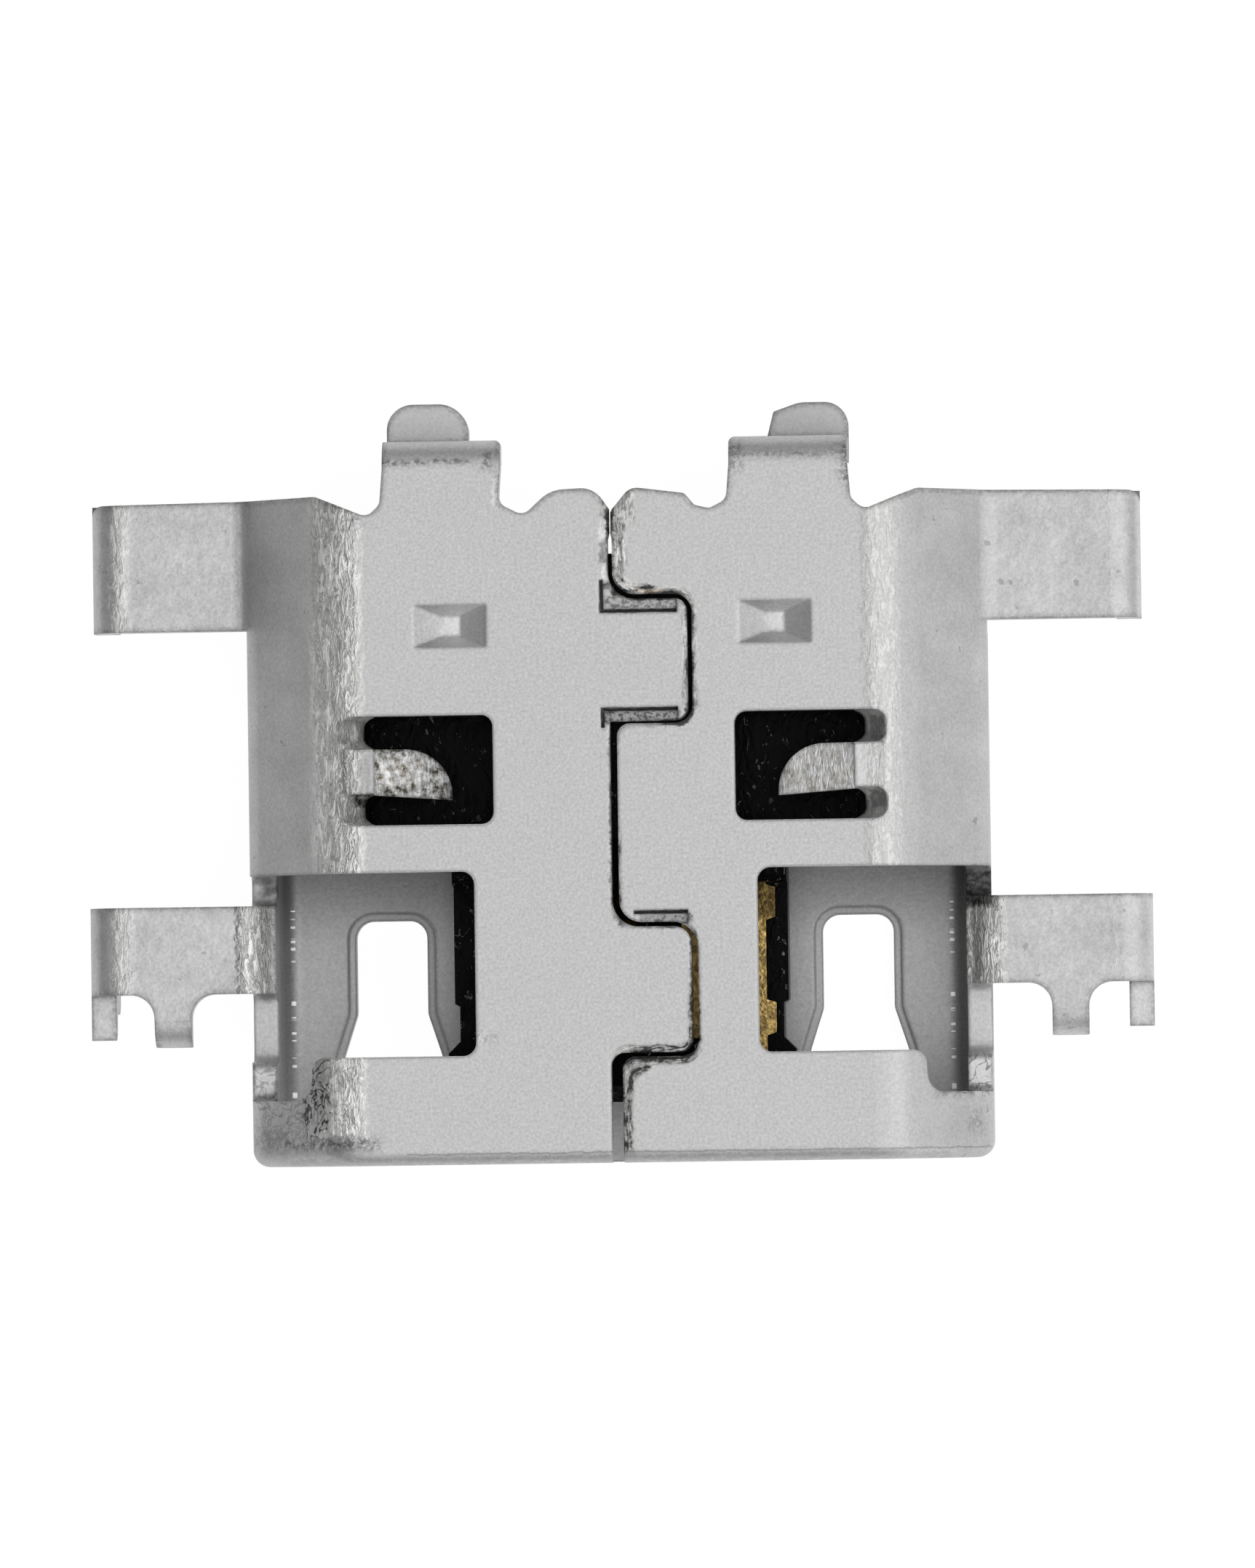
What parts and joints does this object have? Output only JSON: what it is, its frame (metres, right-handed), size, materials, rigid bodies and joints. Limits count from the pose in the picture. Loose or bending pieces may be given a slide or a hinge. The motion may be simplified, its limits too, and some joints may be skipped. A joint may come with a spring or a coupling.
{
  "type": "micro usb socket",
  "caption": "Mid-mount micro USB type B socket: folded steel shell with a jigsaw seam and wings, black moulded housing with a tongue, and gold-plated contacts.",
  "frame": {"origin": "centre of the bounding box in X and Y, on the outside of the wide face, which the socket rests on", "axes": "+X runs across the mouth, -Y is the way the mouth faces, +Z points from the wide face to the narrow face that carries the seam"},
  "size_m": [0.0108, 0.0076, 0.0023],
  "materials": {
    "shell": "dull tin-like plating with fine grain, crinkled at the bends",
    "housing": "glossy black moulding",
    "contacts": "gold plating"
  },
  "bodies": {
    "root": {"shell": "shell", "housing": "housing", "contact_1": "contacts", "contact_2": "contacts", "contact_3": "contacts", "contact_4": "contacts", "contact_5": "contacts"}
  },
  "joints": []
}
